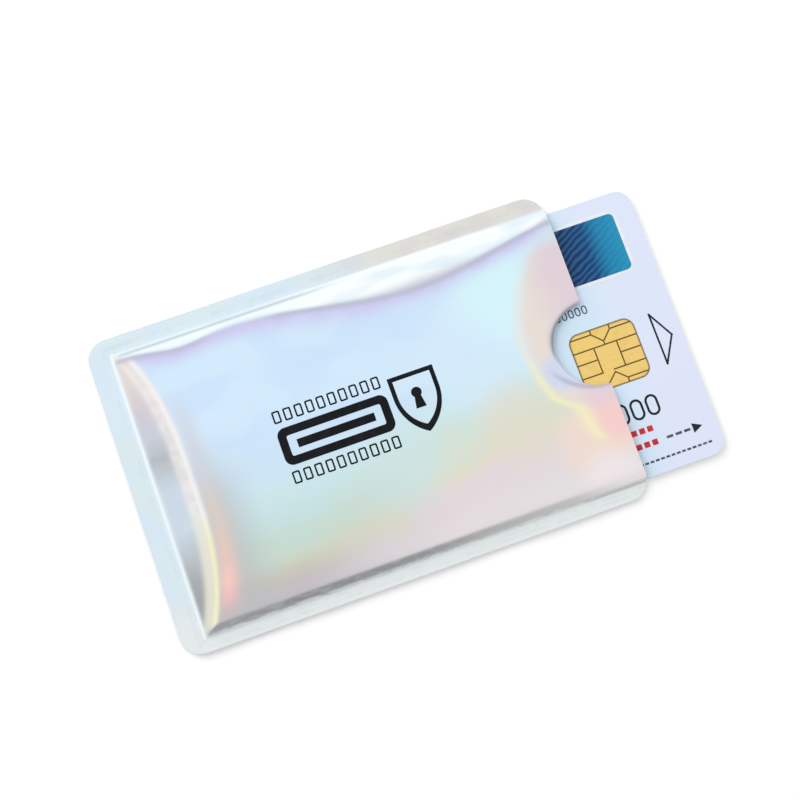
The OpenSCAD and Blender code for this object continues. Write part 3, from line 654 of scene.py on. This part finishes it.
def film_surface(look):
    """Soft grain, streaks from drawing and patches of wear on the plastic film."""
    grain = look.noise(0.6, 1)
    streaks = look.noise(0.9, 1, look.stretched(1, 0.06))
    look.rough(look.noise(8, 3), 0.29, 0.37)
    look.bump(look.plus(grain, streaks), 0.003)


def film_seams(look):
    """Colour of the seams: blue and teal patches, a warmer stretch at the top, whiter below."""
    x, y = look.axis("X"), look.axis("Y")
    colour = look.mix(look.between(look.noise(6, 2), 0.4, 0.65), SEAM_BLUE, SEAM_TEAL)
    patches = look.between(look.noise(4, 2), 0.4, 0.6)
    warm = look.times(look.between(x, -5, 18), look.between(y, 22, 28), 0.9)
    colour = look.mix(warm, colour, look.mix(patches, SEAM_WARM, srgb(226, 222, 213)))
    colour = look.mix(look.between(y, -18, -27), colour, SEAM_WHITE)
    # Dashes of painted shade along the pressed lines
    dashes = look.between(look.noise(2.5, 1), 0.45, 0.6, 0.02, 0.16)
    return look.mix(look.times(look.region("score"), dashes), colour, SHADE)


def sweep_place(look, low_left):
    """Place in the middle's sweep: down the sleeve, a little further on towards the mouth."""
    place = look.plus(SWEEP_Y / SWEEP_L, look.axis("Y"), -1 / SWEEP_L)
    place = look.plus(place, look.between(look.axis("X"), -8, 30, 0, 0.09))
    place = look.plus(place, low_left, -0.05)
    place = look.plus(place, look.off_centre(30, 1), 0.16)
    return look.plus(place, look.off_centre(6, 2, look.stretched(0.5, 1, 15)), 0.15)


def film_middle(look):
    """Pale colours that sweep across the middle of the front, from sky blue down to pink."""
    x, y = look.axis("X"), look.axis("Y")
    low_left = look.times(look.between(x, 14, -12), look.between(y, -5, -18))
    colour = look.ramp(sweep_place(look, low_left), MIDDLE_SWEEP)
    clouds = look.between(look.noise(8, 1, look.stretched(0.6, 1, 20)), 0.42, 0.6, 0, 0.6)
    colour = look.mix(look.times(clouds, look.between(y, -8, 6)), colour, BRIGHT_SKY)
    for patch_x, patch_y, reach, share, tint in MIDDLE_PATCHES:
        patch = look.between(look.distance(patch_x, patch_y), reach, reach / 3, 0, share)
        colour = look.mix(patch, colour, tint)
    halo = look.times(look.region("top_halo"), look.between(look.noise(5, 1), 0.3, 0.6, 0.75, 1))
    colour = look.mix(halo, colour, LILAC)
    colour = look.mix(low_left, colour, LOW_LEFT_TINT, "MULTIPLY")
    corner = look.times(look.between(x, -4, -22), look.between(y, -18, -24))
    colour = look.mix(corner, colour, CORNER_TINT, "MULTIPLY")
    # Painted shade: a cool grey stretch of the middle beside the closed end's slope
    dull_shade = look.times(look.between(x, -22, -34), look.between(y, 10, -8), 0.9)
    return look.mix(dull_shade, colour, COOL_GREY_SHADE)


def beside_end_crease(look, colour):
    """Stretch just inside the crease of the closed end: blue-grey painted shade, then peach and
    rose.
    """
    y = look.axis("Y")
    glow = look.ramp(look.between(y, 14, -26), END_GLOW_SWEEP)
    share = look.times(look.region("end_glow"), look.between(y, 20, 8), 0.95)
    return look.mix(share, colour, glow)


def end_band(look):
    """Closed end's slope: beige, mauve, a grey pinch, blue, grey at its foot; the greys are painted
    shade.
    """
    return look.ramp(look.between(look.rippled("Y"), 30, -22), END_SLOPE_SWEEP_AND_SHADE)


def end_ridge_highlight(look, colour):
    """Painted highlights: a broad soft roll at the head of that slope, and a crisper line at the
    middle.
    """
    y = look.axis("Y")
    roll = look.mix(look.between(look.noise(2.5, 2), 0.4, 0.62), WARM_HIGHLIGHT, srgb(234, 226, 226))
    roll = look.mix(look.between(y, -4, -12), roll, srgb(236, 234, 217))
    colour = look.mix(look.times(look.region("end_roll_highlight"), 0.8), colour, roll)
    line = look.mix(look.between(y, -5, -12), srgb(243, 242, 242), CREAM_HIGHLIGHT)
    return look.mix(look.times(look.region("end_crease"), 0.9), colour, line)


def top_highlight_band(look):
    """White painted highlight on the slope under the upper seam, faint blue streaks, and a fold
    line.
    """
    x = look.axis("X")
    streaks = look.noise(3.5, 1, look.stretched(0.25, 1))
    pale = look.mix(look.between(x, -14, 6), srgb(236, 246, 249), srgb(246, 251, 252))
    colour = look.mix(look.between(streaks, 0.45, 0.65, 0, 0.7), pale, srgb(222, 238, 247))
    # The fold line is a thin line of painted shade
    line = look.times(look.region("fold_line"), look.between(x, 8, -8, 0, 0.75))
    return look.mix(line, colour, SHADE)


def bottom_shade_band(look):
    """Painted shade on the slope over the lower seam: dark from its crease down, pale at its foot.
    """
    x, share = look.axis("X"), look.region("bottom_share")
    dark = look.ramp(look.between(x, -40, 44), LOWER_SLOPE_SHADE)
    texture = look.between(look.noise(0.7, 2, look.stretched(0.3, 1)), 0.4, 0.7, 0, 0.35)
    dark = look.mix(texture, dark, srgb(196, 198, 200))
    # Towards the mouth the dark stretch of painted shade drops to the foot of the slope
    drop = look.between(x, 28, 44)
    dark = look.mix(look.times(drop, look.between(share, 0.2, 0.65)), dark, srgb(234, 230, 233))
    height = look.plus(look.plus(share, texture, 0.5), drop, 0.4)
    return look.mix(look.between(height, 0.55, 0.1), dark, SEAM_WHITE)


def inside_dish(look, colour):
    """Warm colours inside the dish, pale blue at its top, and painted shade and shadow round the
    notch.
    """
    y = look.axis("Y")
    warm = look.mix(look.between(look.rippled("X"), 38, 46), DISH_BEIGE, DISH_MAUVE)
    warm = look.mix(look.between(y, 19, 22.5), warm, srgb(212, 231, 240))
    warm = look.mix(look.between(y, -9, -14), warm, ROSE)
    warm = look.mix(look.between(y, -17, -22), warm, srgb(245, 222, 209))
    colour = look.mix(look.region("dish"), colour, warm)
    # Painted blue shade beside the notch
    blue = look.between(look.distance(SHADE_X, SHADE_Y), 5.2, 2, 0, 0.85)
    colour = look.mix(blue, colour, NOTCH_BLUE_SHADE)
    # Painted shade along the lifted fold that runs into the notch's lower edge
    on_fold = look.near(look.distance(FOLD_X, FOLD_Y), FOLD_R, 0.9)
    fold = look.times(on_fold, look.between(y, -1.5, -6, 0, 0.6))
    colour = look.mix(fold, colour, NOTCH_SHADE)
    # Painted shade just outside the notch's edge, above its middle
    beside = look.between(look.distance(MOUTH_X, NOTCH_Y), NOTCH_R + 1.6, NOTCH_R, 0, 0.5)
    colour = look.mix(look.times(beside, look.near(y, 3.5, 4)), colour, NOTCH_SHADE)
    # Painted shadow: a dark line on the film along the notch's upper edge
    edge = look.times(look.region("notch_edge_shadow"), look.between(y, -2.5, 1.5, 0, 0.85))
    return look.mix(edge, colour, NOTCH_EDGE_SHADOW)


def dish_rim_highlight(look, colour):
    """Painted highlight on the dish's rim, cream below its middle and fading out at both ends."""
    y = look.axis("Y")
    line = look.mix(look.between(y, 3, -6), srgb(232, 236, 230), CREAM_HIGHLIGHT)
    fade = look.times(look.between(y, 20, 4, 0.05, 0.9), look.between(y, -19.5, -17))
    return look.mix(look.times(look.region("dish_rim_highlight"), fade), colour, line)


def front_film_look():
    """The middle first, then the slopes round it, their creases and the seams over it."""
    look = Look("front_film_look", roughness=0.3, metallic=0.55)
    x = look.axis("X")
    from_faint = look.apart(x, FAINT_X)
    colour = inside_dish(look, beside_end_crease(look, film_middle(look)))
    # Painted shade above the lower crease: cool grey towards the closed end, turning pink towards
    # the mouth
    low_shade_halo = look.mix(look.between(x, -24, 10), COOL_GREY_SHADE, PINK)
    colour = look.mix(look.region("bottom_shade_halo"), colour, low_shade_halo)
    colour = look.mix(look.region("end_band"), colour, end_band(look))
    colour = end_ridge_highlight(look, colour)
    colour = look.mix(look.region("top_highlight_band"), colour, top_highlight_band(look))
    colour = look.mix(look.region("bottom_shade_band"), colour, bottom_shade_band(look))
    # Painted shade along the crease under the upper slope
    crease = look.times(look.region("top_crease_shade"), look.between(from_faint, 2, 9, 0.25, 0.85))
    colour = look.mix(crease, colour, CREASE_SHADE)
    colour = dish_rim_highlight(look, colour)
    colour = look.mix(look.region("pocket"), film_seams(look), colour)
    # Painted highlight: a white line at the foot of the closed end's step
    foot = look.times(look.region("end_foot_highlight"), 0.85)
    look.set("Base Color", look.mix(foot, colour, WHITE_BLUE_HIGHLIGHT))
    film_surface(look)
    return look.material


def back_film_look():
    """The same film as on the front, with its colours running along the sleeve."""
    look = Look("back_film_look", roughness=0.3, metallic=0.55)
    place = look.plus(BACK_MIDDLE, look.axis("X"), 1 / BACK_SWEEP_L)
    place = look.plus(place, look.axis("Y"), 1 / BACK_SWEEP_W)
    place = look.plus(place, look.off_centre(32, 0), 0.4)
    colour = look.ramp(place, BACK_SWEEP)
    look.set("Base Color", look.mix(look.region("pocket"), film_seams(look), colour))
    film_surface(look)
    return look.material


# Foil, paper and glue

def foil_look():
    """Bright foil with fine lines from rolling."""
    look = Look("foil_look", roughness=0.3, metallic=1.0)
    rolled = look.noise(0.4, 3, look.stretched(1, 0.04))
    bright = look.between(rolled, 0.3, 0.7)
    look.set("Base Color", look.mix(bright, srgb(222, 224, 226), srgb(236, 237, 238)))
    look.rough(rolled, 0.29, 0.42)
    look.bump(rolled, 0.004)
    return look.material


def paper_look(name, light, dark, fibre):
    """Uncoated paper with fibres of that length."""
    look = Look(name, roughness=0.85)
    fibres = look.noise(fibre, 4, look.stretched(1, 0.35, 30), distortion=1.5)
    tone = look.plus(look.times(fibres, 0.6), look.noise(4, 2), 0.4)
    look.set("Base Color", look.mix(look.between(tone, 0.35, 0.65), dark, light))
    look.bump(fibres, 0.02)
    return look.material


def glue_look(name, light, dark):
    """Set glue or paste with small specks."""
    look = Look(name, roughness=0.55)
    specks = look.noise(0.6, 3)
    look.set("Base Color", look.mix(look.between(specks, 0.4, 0.6), dark, light))
    look.rough(specks, 0.4, 0.7)
    look.bump(specks, 0.02)
    return look.material


# Plastic, ink and metal of the card

def laminate_look(name, base, tint, inner, roughness):
    """Glossy laminate over a pale print with fine crossing waves.

    The print is base with clouds of tint, and inner on the part that the sleeve holds at rest.
    """
    look = Look(name, roughness=roughness)
    clouds = look.noise(22, 2)
    colour = look.mix(look.between(clouds, 0.35, 0.65), base, tint)
    colour = look.mix(look.between(look.axis("X"), 54, 44), colour, inner)
    waves = look.lines(0.8, 35, 3.0)
    crossed = look.lines(0.9, -50, 2.5)
    net = look.times(look.math("MAXIMUM", waves, crossed), 0.1)
    look.set("Base Color", look.mix(net, colour, srgb(250, 251, 255)))
    rubs = look.noise(1.2, 5, look.stretched(1, 0.25, 20))
    look.set("Roughness", look.between(rubs, 0.35, 0.75, roughness, roughness + 0.1))
    look.set("Coat Weight", 0.3)
    look.set("Coat Roughness", 0.12)
    look.bump(look.noise(1.6, 2), 0.003)
    return look.material


def plain_plastic_look(name, light, dark, roughness, grain=0.3):
    """Plain sheet plastic with a fine grain."""
    look = Look(name, roughness=roughness)
    grains = look.noise(grain, 3)
    look.set("Base Color", look.mix(look.between(grains, 0.35, 0.65), dark, light))
    look.rough(grains, roughness - 0.06, roughness + 0.08)
    look.bump(grains, 0.006)
    return look.material


def ink_look(name, light, dark, roughness=0.4):
    """Screen-printed ink, a little uneven, with a fine orange-peel surface."""
    look = Look(name, roughness=roughness)
    look.set("Specular IOR Level", 0.12)
    patches = look.noise(1.5, 4)
    look.set("Base Color", look.mix(look.between(patches, 0.35, 0.7), dark, light))
    look.rough(patches, roughness, roughness + 0.15)
    look.bump(look.noise(0.12, 2), 0.003)
    return look.material


def gilt_look():
    """Gold-plated contacts: satin, finely brushed, a little tarnished, and dark at the edge."""
    look = Look("contact_gilt_look", roughness=0.3, metallic=0.85)
    brushed = look.noise(0.15, 3, look.stretched(0.08, 1))
    drawn = look.between(brushed, 0.3, 0.7, 0, 0.6)
    colour = look.mix(drawn, srgb(243, 209, 128), srgb(235, 200, 111))
    tarnish = look.between(look.noise(2.2, 3), 0.5, 0.75, 0, 0.45)
    colour = look.mix(tarnish, colour, srgb(230, 188, 102))
    past_x = look.beyond("X", PLATE_X, PLATE_L / 2 - PLATE_R)
    past_y = look.beyond("Y", PLATE_Y, PLATE_W / 2 - PLATE_R)
    edge = look.between(look.diagonal(past_x, past_y), PLATE_R - 0.35, PLATE_R - 0.1, 0, 0.8)
    look.set("Base Color", look.mix(edge, colour, srgb(110, 90, 58)))
    look.rough(brushed, 0.29, 0.42)
    look.bump(brushed, 0.003)
    return look.material


def metal_look(name, light, dark, grain):
    """Satin metal with grains of that size."""
    look = Look(name, roughness=0.35, metallic=0.9)
    grains = look.noise(grain, 3)
    look.set("Base Color", look.mix(look.between(grains, 0.35, 0.65), dark, light))
    look.rough(grains, 0.28, 0.45)
    look.bump(grains, 0.003)
    return look.material


def badge_look():
    """Blue-green panel with fine generic wave lines and a lighter middle."""
    look = Look("badge_colour_look", roughness=0.3)
    look.set("Specular IOR Level", 0.25)
    colour = look.ramp(look.between(look.axis("X"), 44, 60), [
        (0.0, srgb(8, 18, 84)), (0.4, srgb(10, 48, 116)),
        (0.65, srgb(18, 122, 172)), (1.0, srgb(32, 150, 192)),
    ])
    waves = look.times(look.lines(1.1, 60, 4.0), 0.3)
    colour = look.mix(waves, colour, srgb(60, 160, 188))
    look.set("Base Color", colour)
    look.rough(look.noise(1.4, 3), 0.29, 0.4)
    return look.material


def stripe_look():
    """Dark brown magnetic stripe with faint lines along it from being laid on."""
    look = Look("stripe_look", roughness=0.38)
    drawn = look.noise(0.5, 3, look.stretched(0.04, 1))
    colour = look.mix(look.between(drawn, 0.35, 0.65), srgb(34, 28, 26), srgb(52, 44, 40))
    look.set("Base Color", colour)
    look.rough(drawn, 0.3, 0.48)
    look.bump(drawn, 0.003)
    return look.material


def signature_look():
    """Matt write-on panel with fine slanted security lines."""
    look = Look("signature_look", roughness=0.75)
    lines = look.between(look.lines(0.9, 25, 1.0), 0.55, 0.95, 0, 0.5)
    colour = look.mix(lines, srgb(240, 240, 234), srgb(196, 208, 226))
    grains = look.noise(0.2, 3)
    hollows = look.between(grains, 0.3, 0.7, 0.1, 0)
    look.set("Base Color", look.mix(hollows, colour, srgb(180, 180, 176)))
    look.bump(grains, 0.01)
    return look.material


# The sleeve's sheets

foil = foil_look()
liner = paper_look("liner_look", srgb(240, 240, 236), srgb(226, 226, 222), 0.5)

sheets = [
    # node, its panel's height and datum, lower and upper face over them, material, coarseness
    ("front_film", front_height, FRONT_Z0, PANEL_T - FILM_T, PANEL_T, front_film_look(), 1.0),
    ("front_foil", front_height, FRONT_Z0, LINER_T + GLUE_T, LINER_T + GLUE_T + FOIL_T, foil, 2.0),
    ("front_liner", front_height, FRONT_Z0, 0.0, LINER_T, liner, 2.0),
    ("back_film", back_height, 0.0, 0.0, FILM_T, back_film_look(), 1.3),
    ("back_foil", back_height, 0.0, FILM_T + GLUE_T, FILM_T + GLUE_T + FOIL_T, foil, 2.0),
    ("back_liner", back_height, 0.0, PANEL_T - LINER_T, PANEL_T, liner, 2.0),
]
for node, height, datum, low, high, material, coarseness in sheets:
    piece = make_sheet(node + "_sheet", height, datum + low, datum + high, coarseness)
    piece.data.materials.append(material)
    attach(piece, "sleeve")
    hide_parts(node)


# Materials of the CAD nodes that keep their shape: the sleeve's first, then the card's

# Colours of the card's two faces: base, tint and inner
card_face_colours = srgb(223, 234, 255), srgb(226, 233, 255), srgb(211, 236, 255)
card_back_colours = srgb(226, 230, 244), srgb(232, 234, 246), srgb(222, 228, 244)

core = plain_plastic_look("card_core_look", srgb(238, 238, 236), srgb(228, 228, 226), 0.5)
antenna = metal_look("antenna_look", srgb(214, 216, 220), srgb(196, 198, 202), 0.3)
black_ink = ink_look("card_ink_look", srgb(46, 52, 62), srgb(28, 32, 40))

node_looks = {
    "seal_band": glue_look("seal_look", srgb(232, 232, 224), srgb(214, 214, 206)),
    "front_print": ink_look("front_print_look", srgb(22, 24, 30), srgb(12, 14, 18), 0.35),
    "card_front_overlay": laminate_look("card_face_look", *card_face_colours, 0.28),
    "card_front_sheet":
        plain_plastic_look("card_front_look", srgb(222, 228, 248), srgb(212, 220, 244), 0.5),
    "card_inlay": core,
    "card_back_sheet": core,
    "card_back_overlay": laminate_look("card_back_look", *card_back_colours, 0.29),
    "antenna_trace": antenna,
    "antenna_bridge": antenna,
    "antenna_bumps": glue_look("bump_look", srgb(150, 150, 154), srgb(120, 120, 126)),
    "chip_contacts": gilt_look(),
    "chip_carrier":
        plain_plastic_look("carrier_look", srgb(112, 88, 34), srgb(88, 68, 26), 0.6, 0.15),
    "chip_glue": glue_look("chip_glue_look", srgb(226, 214, 170), srgb(204, 190, 146)),
    "chip_potting":
        plain_plastic_look("potting_look", srgb(36, 36, 38), srgb(22, 22, 24), 0.5, 0.1),
    "chip_die": metal_look("silicon_look", srgb(110, 112, 124), srgb(92, 94, 106), 0.6),
    "bond_wires": metal_look("gold_wire_look", srgb(244, 208, 120), srgb(230, 190, 96), 0.05),
    "magnetic_stripe": stripe_look(),
    "signature_panel": signature_look(),
    "badge_border": ink_look("badge_white_look", srgb(244, 247, 250), srgb(234, 238, 244), 0.3),
    "badge_panel": badge_look(),
    "card_digits": black_ink,
    "card_arrows": black_ink,
    "card_small_print": ink_look("card_grey_ink_look", srgb(96, 104, 118), srgb(72, 80, 94)),
    "card_red_marks": ink_look("card_red_ink_look", srgb(214, 62, 70), srgb(196, 44, 56)),
}
for node, material in node_looks.items():
    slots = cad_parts[node].data.materials
    slots.clear()
    slots.append(material)


# Studio: a pale floor, a soft lamp above and behind, a weaker one in front, and an even white sky

# The floor's half width in metres, and how far in millimetres it lies under the sleeve
FLOOR_HALF = 1.5
FLOOR_DROP = 0.02

# The floor has a light of its own that takes it up to plain white: NEAR_LIFT up to NEAR_R
# millimetres from the sleeve, and FAR_LIFT from FAR_R on, where the lamps don't reach
NEAR_R, FAR_R = 150, 900
NEAR_LIFT, FAR_LIFT = 0.15, 0.7


def floor_look():
    """Pale floor with a light of its own, which only the camera sees."""
    look = Look("floor_look", roughness=0.9)
    clouds = look.between(look.noise(60, 2), 0.3, 0.7)
    look.set("Base Color", look.mix(clouds, srgb(250, 250, 250), srgb(252, 252, 252)))
    path = look.tree.nodes.new("ShaderNodeLightPath")
    lift = look.between(look.distance(0, 0), NEAR_R, FAR_R, NEAR_LIFT, FAR_LIFT)
    look.set("Emission Color", srgb(255, 255, 255))
    look.set("Emission Strength", look.times(path.outputs["Is Camera Ray"], lift))
    return look.material


def make_floor():
    """Square floor, which is staging and no part of the object."""
    mesh = bpy.data.meshes.new("floor")
    corners = [(-1, -1), (1, -1), (1, 1), (-1, 1)]
    points = [(FLOOR_HALF * x, FLOOR_HALF * y, -FLOOR_DROP * MM) for x, y in corners]
    mesh.from_pydata(points, [], [(0, 1, 2, 3)])
    mesh.materials.append(floor_look())
    floor = bpy.data.objects.new("floor", mesh)
    bpy.context.scene.collection.objects.link(floor)


def make_lamp(name, place, size, power):
    """Soft square lamp at place, in metres, turned to the sleeve.

    Reflections show the even white sky instead of it, so that it washes out no view.
    """
    data = bpy.data.lights.new(name, "AREA")
    data.size = size
    data.energy = power
    lamp = bpy.data.objects.new(name, data)
    lamp.location = place
    lamp.rotation_euler = Vector(place).to_track_quat("Z", "Y").to_euler()
    lamp.visible_glossy = False
    bpy.context.scene.collection.objects.link(lamp)


def make_sky(light):
    """White to the camera and in reflections, and an even light of that strength elsewhere."""
    world = bpy.data.worlds.new("sky")
    world.use_nodes = True
    nodes, links = world.node_tree.nodes, world.node_tree.links
    path = nodes.new("ShaderNodeLightPath")
    seen = path.outputs["Is Camera Ray"]
    for ray in ("Is Glossy Ray", "Is Transmission Ray"):
        either = nodes.new("ShaderNodeMath")
        either.operation = "MAXIMUM"
        links.new(seen, either.inputs[0])
        links.new(path.outputs[ray], either.inputs[1])
        seen = either.outputs[0]
    strength = nodes.new("ShaderNodeMapRange")
    strength.inputs["To Min"].default_value = light
    links.new(seen, strength.inputs["Value"])
    background = nodes["Background"]
    background.inputs["Color"].default_value = (1, 1, 1, 1)
    links.new(strength.outputs[0], background.inputs["Strength"])
    bpy.context.scene.world = world


def make_camera(target, back, roll, distance, view_angle):
    """Camera that looks at target from that distance along back, rolled by roll from level.

    Lengths are in metres and angles in degrees.
    """
    direction = Vector(back).normalized()
    level = direction.to_track_quat("Z", "Y").to_matrix().to_4x4()
    place = Matrix.Translation(Vector(target) + distance * direction)
    data = bpy.data.cameras.new("camera")
    data.lens = data.sensor_width / 2 / math.tan(math.radians(view_angle / 2))
    data.clip_start = 0.01
    camera = bpy.data.objects.new("camera", data)
    camera.matrix_world = place @ level @ Matrix.Rotation(math.radians(roll), 4, "Z")
    bpy.context.scene.collection.objects.link(camera)
    bpy.context.scene.camera = camera


make_floor()
make_lamp("key_lamp", place=(-0.3, 0.55, 0.42), size=0.8, power=5.0)
make_lamp("fill_lamp", place=(0.35, -0.3, 0.5), size=0.5, power=0.7)
make_sky(light=0.5)
make_camera(
    target=(0.00713, 0.0016, 0.0009), back=(-0.0878, -0.151, 0.9846), roll=10.65,
    distance=0.3004, view_angle=28,
)
bpy.context.scene.view_settings.view_transform = "Standard"
